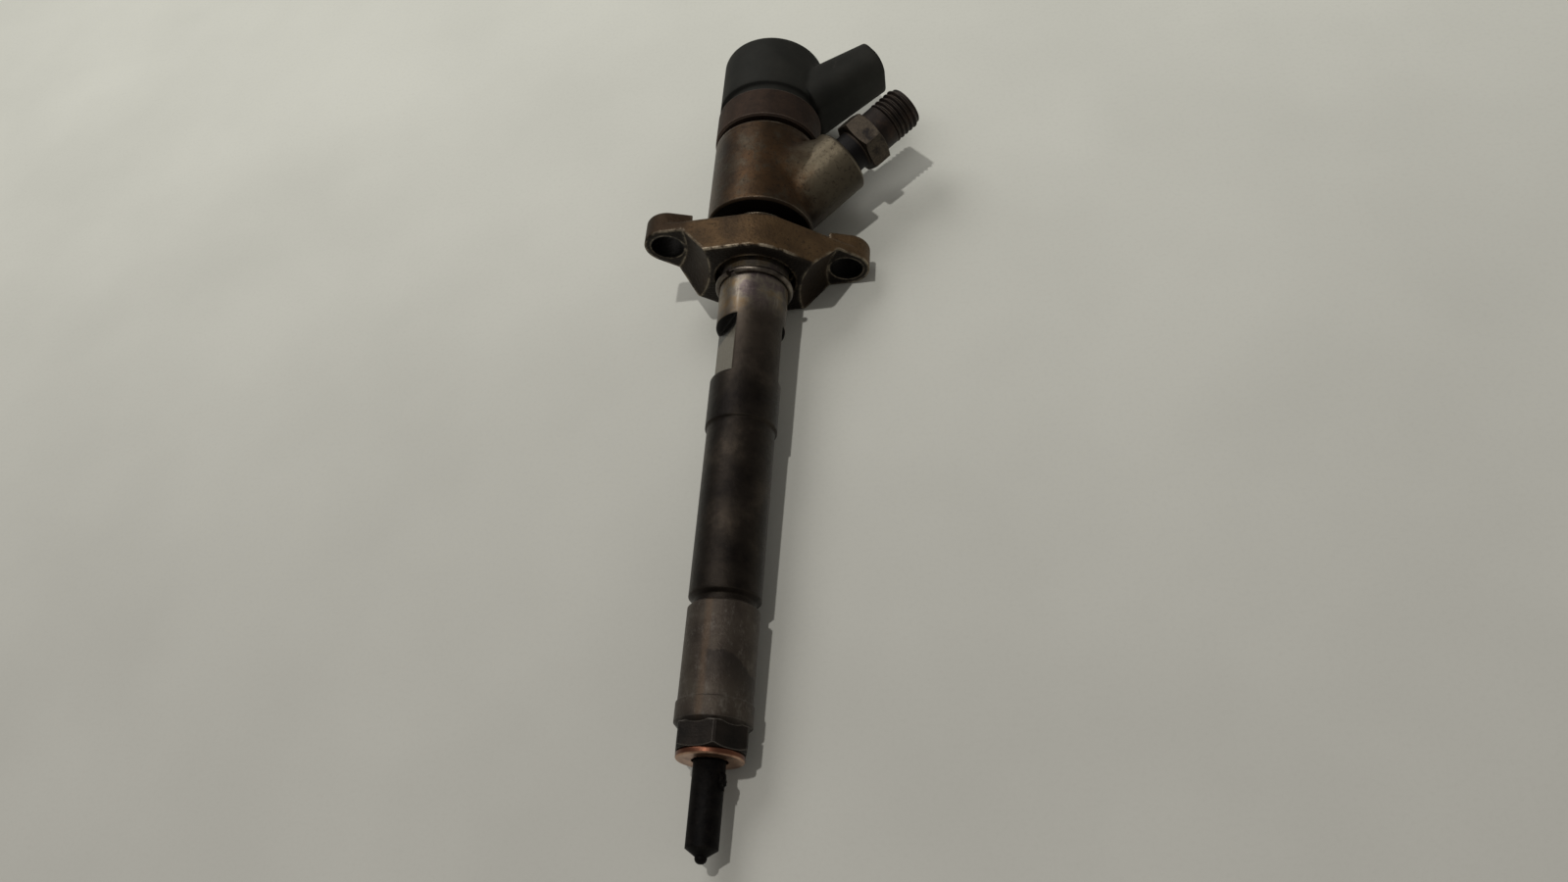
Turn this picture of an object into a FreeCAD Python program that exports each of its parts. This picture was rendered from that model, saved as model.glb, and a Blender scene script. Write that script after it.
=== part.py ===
import FreeCAD, Part
import math
import os
import re
import Sketcher

# A common-rail diesel fuel injector with a loose two-ear clamp flange.
# The injector axis is the frame's Y axis, nozzle towards -Y. The origin is on that axis
# at the lower face of the copper seal washer. Heights below are distances along the axis.

SIZES = {
    # copper seal washer and nozzle
    "washer_height": 1.5, "washer_hole": 4.0, "washer_radius": 7.45, "washer_rounding": 0.45,
    "nozzle_tip_depth": 20.6, "nozzle_tip_radius": 1.3, "nozzle_tip_height": 1.4,
    "nozzle_cone_height": 1.5, "nozzle_shank_radius": 3.5, "nozzle_root_radius": 3.3,
    "nozzle_collar_radius": 7.0, "nozzle_collar_start": 8.5, "nozzle_top": 28.0,
    "sac_radius": 0.5, "sac_start": 0.6, "seat_start": 1.7, "seat_end": 3.605, "needle_bore": 1.6,
    "gallery_radius": 3.2, "gallery_start": 9.0, "gallery_end": 13.0, "needle_guide": 2.0,
    "gallery_overlap": 1.4, "nozzle_drilling_radius": 0.8, "nozzle_tip_rounding": 1.15,
    "spray_hole_radius": 0.12, "spray_hole_count": 7, "spray_angle": 73, "spray_height": 1.05,
    # nozzle retaining nut
    "nut_flats": 15.0, "hexagon_height": 4.7, "runout_height": 1.45, "nut_collar_radius": 8.6,
    "nut_collar_height": 10.3, "nut_radius": 8.25, "nut_height": 32.4, "nut_chamfer": 0.6,
    "nut_hole": 3.9, "nut_floor": 7.0, "nut_bore": 7.1, "nut_thread": 7.25, "nut_thread_start": 26.5,
    "hexagon_chamfer": 0.6, "hexagon_face_radius": 7.6, "hexagon_turned_radius": 8.5,
    "nut_corner_angle": 20.7,
    # needle, spring and control piston
    "needle_radius": 1.4, "needle_guide_radius": 1.97, "needle_tip_radius": 0.3,
    "needle_seat_gap": 0.02, "needle_length": 48.7, "needle_stub": 1.9, "needle_shoulder": 32.2,
    "pin_flange_radius": 2.8,
    "pin_flange_height": 2.0, "pin_radius": 1.2, "pin_top": 50.0, "needle_spring_radius": 2.15,
    "needle_spring_wire": 0.7, "needle_spring_pitch": 1.6, "spring_room_radius": 3.0,
    "spring_room_top": 48.0, "shim_height": 0.5, "shim_hole": 1.4, "shim_radius": 2.9,
    "piston_radius": 2.15, "piston_bore": 2.2, "piston_top": 141.0, "piston_chamfer": 0.3,
    "dowel_radius": 0.78, "dowel_hole": 0.8, "dowel_depth": 3.0, "dowel_offset": 5.2,
    "dowel_end_gap": 0.05,
    # injector body
    "neck_radius": 7.2, "skirt_start": 35.2, "shank_start": 36.2, "shank_radius": 8.36,
    "collar_start": 79.7, "collar_radius": 8.86, "collar_chamfer": 0.3, "flats_start": 93.0,
    "flats_end": 109.8, "flats_across": 12.5, "flats_angle": -51, "land_start": 116.7,
    "land_radius": 8.95, "head_start": 141.8, "head_chamfer": 0.6, "head_radius": 14.4,
    "head_top": 169.2, "thread_neck_radius": 12.4, "thread_neck_top": 177.0,
    "drilling_radius": 1.0, "drilling_offset": 5.2, "valve_room_start": 134.0, "valve_room_radius": 7.0,
    "screw_room_start": 150.0, "screw_room_radius": 9.0, "coil_room_start": 158.0,
    "coil_room_radius": 11.2,
    # snap ring on the body
    "ring_height": 122.8, "ring_wire": 0.85, "ring_major": 9.39, "ring_groove": 8.5,
    "ring_groove_width": 1.8, "ring_gap": 14, "ring_gap_angle": -22,
    # slanted inlet branch
    "inlet_crossing": 142.67, "inlet_tilt": 47.9, "inlet_azimuth": 86.0, "boss_start": 10.5,
    "boss_end": 30.5, "boss_radius": 9.0, "boss_chamfer": 0.7, "boss_bore": 5.0,
    "web_offset": 6.0, "web_height": 156.3, "web_tilt": 69.3, "web_length": 15.0,
    "web_root_radius": 12.5, "web_end_radius": 7.9,
    "boss_bore_start": 20.8, "feed_radius": 0.9, "feed_height": 144.5,
    "inlet_seal_height": 1.2, "inlet_seal_hole": 1.5, "inlet_seal_radius": 4.8,
    "inlet_stem_radius": 4.95, "inlet_neck_radius": 5.4, "inlet_hexagon_start": 35.2,
    "inlet_flats": 14.0, "inlet_hexagon_end": 41.0, "inlet_hexagon_angle": 20,
    "inlet_hexagon_chamfer": 0.5, "inlet_pipe_radius": 5.85,
    "inlet_thread_start": 45.5, "inlet_thread_radius": 6.0, "thread_pitch": 1.5,
    "thread_depth": 0.75, "thread_crest": 0.15, "thread_turns": 5, "inlet_end": 53.7, "inlet_end_radius": 5.4,
    "inlet_cone_radius": 3.6, "inlet_cone_depth": 3.0, "inlet_bore": 1.95, "inlet_orifice": 1.0,
    "filter_radius": 1.9, "filter_start": 26.0, "filter_end": 46.0, "filter_flat": 1.6, "filter_land": 1.0,
    # valve
    "valve_seal_height": 1.2, "valve_seal_hole": 2.9, "valve_seal_radius": 4.6,
    "valve_stem_radius": 4.5, "valve_flange_start": 146.0, "valve_flange_radius": 6.95,
    "valve_bore": 2.18, "valve_chamber_top": 146.0, "valve_orifice": 0.5, "valve_feed": 0.25,
    "valve_feed_height": 143.0, "screw_height": 6.0, "screw_radius": 8.97, "screw_bore": 4.6,
    "ball_radius": 0.675, "ball_centre": 150.4635, "holder_start": 150.75, "holder_top": 152.6,
    "holder_radius": 1.5, "holder_recess": 0.7, "holder_recess_top": 151.14,
    # armature
    "guide_sleeve_start": 152.9, "guide_sleeve_radius": 3.0, "guide_flange_radius": 6.4,
    "guide_flange_start": 156.0, "guide_top": 157.5, "guide_bore": 2.0, "guide_port_radius": 0.5,
    "guide_port_offset": 4.0, "armature_pin_radius": 1.95, "armature_pin_top": 163.5,
    "lock_groove_radius": 1.5, "lock_height": 0.5, "lock_radius": 2.6, "lock_hole": 1.55,
    "lock_mouth": 2.4, "armature_start": 159.8, "armature_top": 161.9, "armature_radius": 8.6,
    "armature_hole": 1.96, "armature_slot_width": 1.2, "armature_slot_depth": 3.4,
    "armature_slot_count": 6, "armature_spring_inner": 2.3, "armature_spring_outer": 5.0,
    "armature_spring_sheet": 0.4,
    # solenoid
    "gap_shim_top": 159.5, "gap_shim_hole": 9.7, "gap_shim_radius": 11.1, "core_start": 162.0,
    "core_top": 175.0, "core_hole": 3.0, "core_radius": 9.6, "core_slot_inner": 5.4,
    "core_slot_outer": 8.2, "core_slot_top": 170.0, "bobbin_start": 162.3, "bobbin_top": 169.9,
    "bobbin_inner": 5.5, "bobbin_wall": 5.9, "bobbin_outer": 8.1, "bobbin_flange": 0.7,
    "winding_radius": 8.0, "winding_gap": 0.05, "solenoid_spring_radius": 1.85,
    "solenoid_spring_wire": 0.6, "solenoid_spring_pitch": 1.5, "preload_shim_start": 173.0,
    "preload_plug_start": 174.0, "preload_radius": 2.9, "preload_hole": 1.0,
    "sleeve_hole": 9.65, "sleeve_radius": 11.15, "sleeve_flange_start": 177.05,
    "sleeve_flange_radius": 12.35, "sleeve_flange_end": 179.3, "sleeve_neck_radius": 10.3,
    "sleeve_top": 189.0, "sleeve_passage": 2.2, "o_ring_height": 167.1, "o_ring_major": 10.65,
    "o_ring_minor": 0.5, "o_ring_groove": 10.1, "o_ring_groove_width": 2.2,
    "lock_nut_start": 171.3, "lock_nut_end": 181.3, "lock_nut_radius": 14.68,
    "lock_nut_thread": 12.45, "lock_nut_hole": 10.6, "lock_nut_floor": 179.4, "lock_nut_chamfer": 0.5,
    # black cap and plug socket
    "cap_spigot_start": 181.4, "cap_start": 184.0, "cap_top": 201.5, "cap_radius": 14.5,
    "cap_spigot_radius": 13.4, "cap_bore": 10.35, "cap_bore_top": 189.05, "cap_rounding": 0.7,
    "return_bore": 3.2, "return_start": 193.6,
    "plug_crossing": 180.0, "plug_tilt": 52.5, "plug_azimuth": 97.2,
    "plug_root": 12.5, "plug_end": 36.6, "plug_root_width": 18.5, "plug_root_depth": 14.2,
    "plug_end_width": 15.0, "plug_end_depth": 12.0, "plug_corner": 5.0, "socket_depth": 15.0,
    "socket_wall": 1.5, "pin_width": 2.4, "pin_thickness": 0.8, "pin_spacing": 5.0,
    "pin_start": 16.0, "pin_end": 29.0, "pin_slack": 0.02,
    # clamp flange
    "clamp_start": 126.0, "clamp_ear_start": 133.6, "clamp_web_end": 136.8, "clamp_ear_end": 140.6,
    "clamp_rim_radius": 14.8, "clamp_ear_radius": 6.2, "clamp_spacing": 48.0, "clamp_hole": 4.25,
    "clamp_bore": 9.02, "clamp_recess": 10.7, "clamp_recess_end": 131.0, "clamp_wall_waist": 12.1,
    "clamp_wall_corner": 13.9, "clamp_wall_flare": 6.8, "clamp_wall_reach": 9.6,
    "clamp_pad_start": 18.2, "clamp_roll": 21.0, "clamp_rounding": 1.0,
    # small allowances used in several places
    "overshoot": 1.0, "small_step": 0.3,
}

doc = FreeCAD.newDocument("injector")
sheet = doc.addObject("Spreadsheet::Sheet", "Sizes")
for row, (alias, size) in enumerate(SIZES.items(), start=1):
    sheet.set("A%d" % row, alias)
    sheet.set("B%d" % row, str(size))
    sheet.setAlias("B%d" % row, alias)
doc.recompute()

SHAFT = FreeCAD.Rotation(FreeCAD.Vector(1, 0, 0), -90)
AXIS = FreeCAD.Vector(0, 0, 1)
ACROSS = FreeCAD.Vector(0, 1, 0)
NEAR = 0.001
nodes = []


def cells(expression):
    """The expression with each size name written as a cell of the sheet."""
    return re.sub(r"\b(?!sqrt\b)[a-z][a-z_]+", lambda word: "Sizes." + word.group(), expression)


def value(expression):
    """The number that an expression of size names comes to."""
    return float(sheet.evalExpression(cells(expression)))


def bind(item, **properties):
    """Tie properties of an object to expressions of size names."""
    for name, expression in properties.items():
        item.setExpression(name, cells(expression))


def about_axis(azimuth):
    """Turn about the injector axis that takes the body's own X axis to an azimuth, in degrees."""
    return FreeCAD.Rotation(AXIS, azimuth - 90)


def slant(tilt, azimuth):
    """Turn from the injector axis to a direction tilted from it, azimuth measured from +Z to +X."""
    return about_axis(value(azimuth)) * FreeCAD.Rotation(ACROSS, value(tilt))


def finish(item, label, start="0", turn=None):
    """Name a sub-part and put it on the injector axis, start being its distance along the axis."""
    item.Label = label
    turn = turn or FreeCAD.Rotation()
    item.Placement = FreeCAD.Placement(FreeCAD.Vector(0, value(start), 0), SHAFT * turn)
    nodes.append(item)
    return item


def new_sketch(body, name, role):
    """A sketch on one of the body's origin planes."""
    sketch = body.newObject("Sketcher::SketchObject", name)
    plane = [item for item in body.Origin.OriginFeatures if item.Role == role][0]
    sketch.AttachmentSupport = [(plane, "")]
    sketch.MapMode = "FlatFace"
    return sketch


def pin_down(sketch, geometry, point, across, up):
    """Fix one point of a sketch by two expressions, or on an axis where it is zero."""
    for kind, axis, expression in (("DistanceX", -2, across), ("DistanceY", -1, up)):
        distance = value(expression)
        if abs(distance) < NEAR:
            sketch.addConstraint(Sketcher.Constraint("PointOnObject", geometry, point, axis))
        else:
            index = sketch.addConstraint(Sketcher.Constraint(kind, -1, 1, geometry, point, distance))
            sketch.setExpression("Constraints[%d]" % index, cells(expression))


def outline(sketch, corners):
    """A closed outline of straight lines through corners given as pairs of expressions."""
    points = [FreeCAD.Vector(value(across), value(up), 0) for across, up in corners]
    count = len(points)
    for index in range(count):
        sketch.addGeometry(Part.LineSegment(points[index], points[(index + 1) % count]), False)
    for index in range(count):
        sketch.addConstraint(Sketcher.Constraint("Coincident", index, 2, (index + 1) % count, 1))
    for index, (across, up) in enumerate(corners):
        pin_down(sketch, index, 1, across, up)


def turned_feature(body, kind, name, corners):
    """A revolved addition or cut about the body's own Z axis."""
    sketch = new_sketch(body, name + "_profile", "XZ_Plane")
    outline(sketch, corners)
    feature = body.newObject(kind, name)
    feature.Profile = sketch
    feature.ReferenceAxis = (sketch, ["V_Axis"])
    feature.Angle = 360
    sketch.Visibility = False
    return feature


def turned_body(label, corners):
    """A body turned from one closed profile of (radius, height) expressions."""
    body = doc.addObject("PartDesign::Body", label)
    turned_feature(body, "PartDesign::Revolution", label + "_turning", corners)
    return body


def groove(body, name, corners):
    """A turned cut; the volume shows that it takes material away."""
    doc.recompute()
    before = body.Shape.Volume
    turned_feature(body, "PartDesign::Groove", name, corners)
    doc.recompute()
    if not body.Shape.Volume < before:
        raise ValueError(name + " cuts nothing")


def primitive(body, kind, name, place, **sizes):
    """A PartDesign primitive in a body, at a place in the body's own frame."""
    item = doc.addObject("PartDesign::" + kind, name)
    body.addObject(item)
    bind(item, **sizes)
    item.Placement = place
    doc.recompute()
    return item


def at(height="0", across=0.0, turn=None):
    """A place on or beside the body's own Z axis."""
    return FreeCAD.Placement(FreeCAD.Vector(across, 0, value(height)), turn or FreeCAD.Rotation())


def named_edges(shape):
    """Each edge of a shape with the name that a feature knows it by."""
    return [("Edge%d" % index, edge) for index, edge in enumerate(shape.Edges, start=1)]


def is_circle(edge, radius):
    return isinstance(edge.Curve, Part.Circle) and abs(edge.Curve.Radius - radius) < NEAR


def circles(shape, radius, height):
    """Names of the circular edges of one radius at one height."""
    return [name for name, edge in named_edges(shape)
            if is_circle(edge, radius) and abs(edge.Curve.Center.z - height) < NEAR]


def round_edges(body, name, radius, choose):
    """A fillet on the chosen edges of the body's last feature."""
    doc.recompute()
    base = body.Tip
    fillet = body.newObject("PartDesign::Fillet", name)
    fillet.Base = (base, choose(base.Shape))
    bind(fillet, Radius=radius)
    doc.recompute()


def ring(label, inner, outer, bottom, top):
    """A plain ring between two radii and two heights."""
    height = "(%s)-(%s)" % (top, bottom)
    body = turned_body(label, [(inner, "0"), (outer, "0"), (outer, height), (inner, height)])
    return finish(body, label, bottom)


def spring(label, radius, wire, pitch, bottom, top):
    """A round-wire compression spring between two heights."""
    thickness = value(wire)
    length = value(top) - value(bottom) - thickness
    path = Part.makeHelix(value(pitch), length, value(radius))
    path.translate(FreeCAD.Vector(0, 0, thickness / 2))
    middle = FreeCAD.Vector(value(radius), 0, thickness / 2)
    section = Part.Circle(middle, FreeCAD.Vector(0, 1, 0), thickness / 2)
    item = doc.addObject("Part::Feature", label)
    item.Shape = Part.Wire(path.Edges).makePipeShell([Part.Wire([section.toShape()])], True, True)
    return finish(item, label, bottom)


def copper_washer():
    body = turned_body("copper_washer", [
        ("washer_hole", "0"), ("washer_radius", "0"),
        ("washer_radius", "washer_height"), ("washer_hole", "washer_height")])
    round_edges(body, "washer_edges", "washer_rounding", lambda shape: (
        circles(shape, value("washer_radius"), 0)
        + circles(shape, value("washer_radius"), value("washer_height"))))
    finish(body, "copper_washer")


def nozzle_body():
    shank = "nozzle_tip_height + nozzle_cone_height"
    collar = "nozzle_tip_depth + nozzle_collar_start"
    top = "nozzle_tip_depth + nozzle_top"
    body = turned_body("nozzle_body", [
        ("0", "0"), ("nozzle_tip_radius", "0"), ("nozzle_tip_radius", "nozzle_tip_height"),
        ("nozzle_shank_radius", shank), ("nozzle_shank_radius", "nozzle_tip_depth"),
        ("nozzle_root_radius", "nozzle_tip_depth"), ("nozzle_root_radius", collar),
        ("nozzle_collar_radius", collar), ("nozzle_collar_radius", top), ("0", top)])
    round_edges(body, "nozzle_tip_round", "nozzle_tip_rounding",
                lambda shape: circles(shape, value("nozzle_tip_radius"), 0))
    groove(body, "nozzle_bore", [
        ("0", "sac_start"), ("sac_radius", "sac_start"), ("sac_radius", "seat_start"),
        ("needle_bore", "seat_end"), ("needle_bore", "nozzle_tip_depth + gallery_start"),
        ("gallery_radius", "nozzle_tip_depth + gallery_start"),
        ("gallery_radius", "nozzle_tip_depth + gallery_end"),
        ("needle_guide", "nozzle_tip_depth + gallery_end"), ("needle_guide", top), ("0", top)])
    side = about_axis(value("inlet_azimuth"))
    fall = "nozzle_top - gallery_end + gallery_overlap"
    rise = math.atan2(value("drilling_offset - gallery_radius + gallery_overlap / 2"), value(fall))
    turn = side * FreeCAD.Rotation(ACROSS, 180 + math.degrees(rise))
    entry = side.multVec(FreeCAD.Vector(value("drilling_offset"), 0, value(top)))
    primitive(body, "SubtractiveCylinder", "nozzle_drilling", FreeCAD.Placement(entry, turn),
              Radius="nozzle_drilling_radius", Height=fall)
    spray = FreeCAD.Rotation(ACROSS, 180 - value("spray_angle"))
    holes = primitive(body, "SubtractiveCylinder", "spray_hole", at("spray_height", 0, spray),
                      Radius="spray_hole_radius", Height="nozzle_tip_radius * 2")
    pattern = body.newObject("PartDesign::PolarPattern", "spray_holes")
    pattern.Originals = [holes]
    pattern.Axis = ([item for item in body.Origin.OriginFeatures if item.Role == "Z_Axis"][0], [""])
    pattern.Angle = 360
    bind(pattern, Occurrences="spray_hole_count")
    body.Tip = pattern
    cut_dowel_holes(body, "nozzle", "nozzle_tip_depth + nozzle_top - dowel_depth")
    finish(body, "nozzle_body", "0 - nozzle_tip_depth")


def dowel_place(side, height):
    """Where a dowel stands: beside the fuel drilling, a quarter turn to either side."""
    turn = about_axis(value("inlet_azimuth") + side * 90)
    place = turn.multVec(FreeCAD.Vector(value("dowel_offset"), 0, value(height)))
    return FreeCAD.Placement(place, FreeCAD.Rotation())


def cut_dowel_holes(body, name, height):
    for side in (-1, 1):
        primitive(body, "SubtractiveCylinder", "%s_dowel_hole_%d" % (name, side + 2),
                  dowel_place(side, height), Radius="dowel_hole", Height="dowel_depth")


def dowel_pins():
    pins = []
    for side in (-1, 1):
        pin = doc.addObject("Part::Cylinder", "dowel_%d" % (side + 2))
        bind(pin, Radius="dowel_radius", Height="dowel_depth * 2 - dowel_end_gap * 2")
        pin.Placement = dowel_place(side, "dowel_end_gap")
        pins.append(pin)
    pair = doc.addObject("Part::Compound", "dowel_pins")
    pair.Links = pins
    finish(pair, "dowel_pins", "nozzle_top - dowel_depth")


def nozzle_nut():
    top = "nut_height"
    body = turned_body("nozzle_nut", [
        ("nut_hole", "0"), ("nut_flats / 2 - small_step", "0"),
        ("nut_flats / 2 - small_step", "hexagon_height"),
        ("nut_collar_radius", "hexagon_height + runout_height"),
        ("nut_collar_radius", "nut_collar_height"), ("nut_radius", "nut_collar_height + small_step"),
        ("nut_radius", "nut_height - nut_chamfer"), ("nut_radius - nut_chamfer", top),
        ("nut_thread", top), ("nut_thread", "nut_thread_start"), ("nut_bore", "nut_thread_start"),
        ("nut_bore", "nut_floor"), ("nut_hole", "nut_floor")])
    primitive(body, "AdditivePrism", "nut_hexagon",
              at("0", 0, about_axis(value("nut_corner_angle"))),
              Circumradius="nut_flats / sqrt(3)", Height="hexagon_height + runout_height / 2")
    groove(body, "nut_hexagon_chamfer", [
        ("hexagon_face_radius", "0"), ("nut_flats", "0"),
        ("nut_flats", "hexagon_height + runout_height / 2"),
        ("hexagon_turned_radius", "hexagon_height + runout_height / 2"),
        ("hexagon_turned_radius", "hexagon_chamfer")])
    groove(body, "nut_inner_bore", [
        ("0", "0"), ("nut_hole", "0"), ("nut_hole", "nut_floor"), ("0", "nut_floor")])
    finish(body, "nozzle_nut", "washer_height")


def needle_and_piston():
    cone = "(needle_radius - needle_tip_radius) * sqrt(3)"
    guide = "needle_shoulder + (needle_guide_radius - needle_radius)"
    needle = turned_body("nozzle_needle", [
        ("0", "0"), ("needle_tip_radius", "0"), ("needle_radius", cone),
        ("needle_radius", "needle_shoulder - overshoot"), ("needle_guide_radius", guide),
        ("needle_guide_radius", "needle_length - needle_stub"), ("pin_radius", "needle_length - needle_stub"),
        ("pin_radius", "needle_length"), ("0", "needle_length")])
    start = "seat_start - (sac_radius - needle_tip_radius) * sqrt(3) - nozzle_tip_depth + needle_seat_gap"
    finish(needle, "nozzle_needle", start)
    bottom = "(%s) + needle_length" % start
    rod = turned_body("pressure_pin", [
        ("0", "0"), ("pin_flange_radius", "0"), ("pin_flange_radius", "pin_flange_height"),
        ("pin_radius", "pin_flange_height"), ("pin_radius", "pin_top - (%s)" % bottom),
        ("0", "pin_top - (%s)" % bottom)])
    finish(rod, "pressure_pin", bottom)
    length = "piston_top - pin_top"
    piston = turned_body("control_piston", [
        ("0", "0"), ("piston_radius - piston_chamfer", "0"), ("piston_radius", "piston_chamfer"),
        ("piston_radius", length + " - piston_chamfer"), ("piston_radius - piston_chamfer", length),
        ("0", length)])
    finish(piston, "control_piston", "pin_top")
    spring("needle_spring", "needle_spring_radius", "needle_spring_wire", "needle_spring_pitch",
           bottom + " + pin_flange_height", "spring_room_top - shim_height")
    ring("needle_spring_shim", "shim_hole", "shim_radius",
         "spring_room_top - shim_height", "spring_room_top")


def injector_body():
    def up(name):
        return name + " - nozzle_top"
    body = turned_body("injector_body", [
        ("0", "0"), ("neck_radius", "0"), ("neck_radius", up("skirt_start")),
        ("shank_radius", up("shank_start")), ("shank_radius", up("collar_start")),
        ("collar_radius", up("collar_start + collar_chamfer")), ("collar_radius", up("land_start")),
        ("land_radius", up("land_start + collar_chamfer")), ("land_radius", up("head_start")),
        ("head_radius - head_chamfer", up("head_start")),
        ("head_radius", up("head_start + head_chamfer")), ("head_radius", up("head_top")),
        ("thread_neck_radius", up("head_top")), ("thread_neck_radius", up("thread_neck_top")),
        ("0", up("thread_neck_top"))])
    branch = slant("inlet_tilt", "inlet_azimuth")

    def along(distance):
        base = branch.multVec(FreeCAD.Vector(0, 0, value(distance)))
        return FreeCAD.Placement(base + FreeCAD.Vector(0, 0, value(up("inlet_crossing"))), branch)
    primitive(body, "AdditiveCylinder", "inlet_boss", along("boss_start"),
              Radius="boss_radius", Height="boss_end - boss_chamfer - boss_start")
    primitive(body, "AdditiveCone", "inlet_boss_chamfer", along("boss_end - boss_chamfer"),
              Radius1="boss_radius", Radius2="boss_radius - boss_chamfer", Height="boss_chamfer")
    # forged shoulder that fills the upper corner between the head and the branch
    side = about_axis(value("inlet_azimuth"))
    foot = side.multVec(FreeCAD.Vector(value("web_offset"), 0, value(up("web_height"))))
    primitive(body, "AdditiveCone", "inlet_web",
              FreeCAD.Placement(foot, slant("web_tilt", "inlet_azimuth")),
              Radius1="web_root_radius", Radius2="web_end_radius", Height="web_length")
    primitive(body, "SubtractiveCylinder", "inlet_boss_bore", along("boss_bore_start"),
              Radius="boss_bore", Height="boss_end - boss_bore_start + overshoot")
    groove(body, "body_bore", [
        ("0", "0"), ("spring_room_radius", "0"), ("spring_room_radius", up("spring_room_top")),
        ("piston_bore", up("spring_room_top")), ("piston_bore", up("valve_room_start")),
        ("valve_room_radius", up("valve_room_start")), ("valve_room_radius", up("screw_room_start")),
        ("screw_room_radius", up("screw_room_start")), ("screw_room_radius", up("coil_room_start")),
        ("coil_room_radius", up("coil_room_start")), ("coil_room_radius", up("thread_neck_top")),
        ("0", up("thread_neck_top"))])
    groove(body, "ring_groove", [
        ("ring_groove", up("ring_height - ring_groove_width / 2")),
        ("collar_radius + overshoot", up("ring_height - ring_groove_width / 2")),
        ("collar_radius + overshoot", up("ring_height + ring_groove_width / 2")),
        ("ring_groove", up("ring_height + ring_groove_width / 2"))])
    primitive(body, "SubtractiveCylinder", "fuel_drilling",
              FreeCAD.Placement(side.multVec(FreeCAD.Vector(value("drilling_offset"), 0, 0)), side),
              Radius="drilling_radius", Height=up("valve_room_start + overshoot"))
    seat = along("boss_bore_start").Base
    wall = value("valve_room_radius - overshoot")
    chamber = side.multVec(FreeCAD.Vector(wall, 0, value(up("feed_height"))))
    feed = FreeCAD.Placement(chamber, FreeCAD.Rotation(AXIS, seat - chamber))
    passage = primitive(body, "SubtractiveCylinder", "inlet_passage", feed, Radius="feed_radius")
    passage.Height = (seat - chamber).Length + value("feed_radius")
    for side_index in (0, 1):
        turn = about_axis(value("flats_angle") + 180 * side_index)
        corner = FreeCAD.Vector(value("flats_across / 2"), -value("collar_radius"), value(up("flats_start")))
        primitive(body, "SubtractiveBox", "body_flat_%d" % (side_index + 1),
                  FreeCAD.Placement(turn.multVec(corner), turn),
                  Length="collar_radius", Width="collar_radius * 2", Height="flats_end - flats_start")
    cut_dowel_holes(body, "body", "0")
    finish(body, "injector_body", "nozzle_top")


def snap_ring():
    wire = doc.addObject("Part::Torus", "snap_ring")
    bind(wire, Radius1="ring_major", Radius2="ring_wire", Angle3="360 - ring_gap")
    finish(wire, "snap_ring", "ring_height", about_axis(value("ring_gap_angle + ring_gap / 2")))


def valve():
    ring("valve_seal_ring", "valve_seal_hole", "valve_seal_radius", "valve_room_start",
         "valve_room_start + valve_seal_height")
    start = "(valve_room_start + valve_seal_height)"
    top = "screw_room_start - " + start
    body = turned_body("valve_body", [
        ("valve_bore", "0"), ("valve_stem_radius", "0"),
        ("valve_stem_radius", "valve_flange_start - " + start),
        ("valve_flange_radius", "valve_flange_start - " + start), ("valve_flange_radius", top),
        ("valve_orifice", top), ("valve_orifice", "valve_chamber_top - " + start),
        ("valve_bore", "valve_chamber_top - " + start)])
    turn = about_axis(value("inlet_azimuth")) * FreeCAD.Rotation(ACROSS, 90)
    primitive(body, "SubtractiveCylinder", "valve_feed_orifice",
              at("valve_feed_height - " + start, 0, turn),
              Radius="valve_feed", Height="valve_stem_radius + overshoot")
    finish(body, "valve_body", start)
    ring("valve_clamp_screw", "screw_bore", "screw_radius",
         "screw_room_start", "screw_room_start + screw_height")
    ball = doc.addObject("Part::Sphere", "valve_ball")
    bind(ball, Radius="ball_radius")
    finish(ball, "valve_ball", "ball_centre")
    height = "holder_top - holder_start"
    holder = turned_body("ball_holder", [
        ("holder_recess", "0"), ("holder_radius", "0"), ("holder_radius", height), ("0", height),
        ("0", "holder_recess_top - holder_start"), ("holder_recess", "holder_recess_top - holder_start")])
    finish(holder, "ball_holder", "holder_start")


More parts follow.
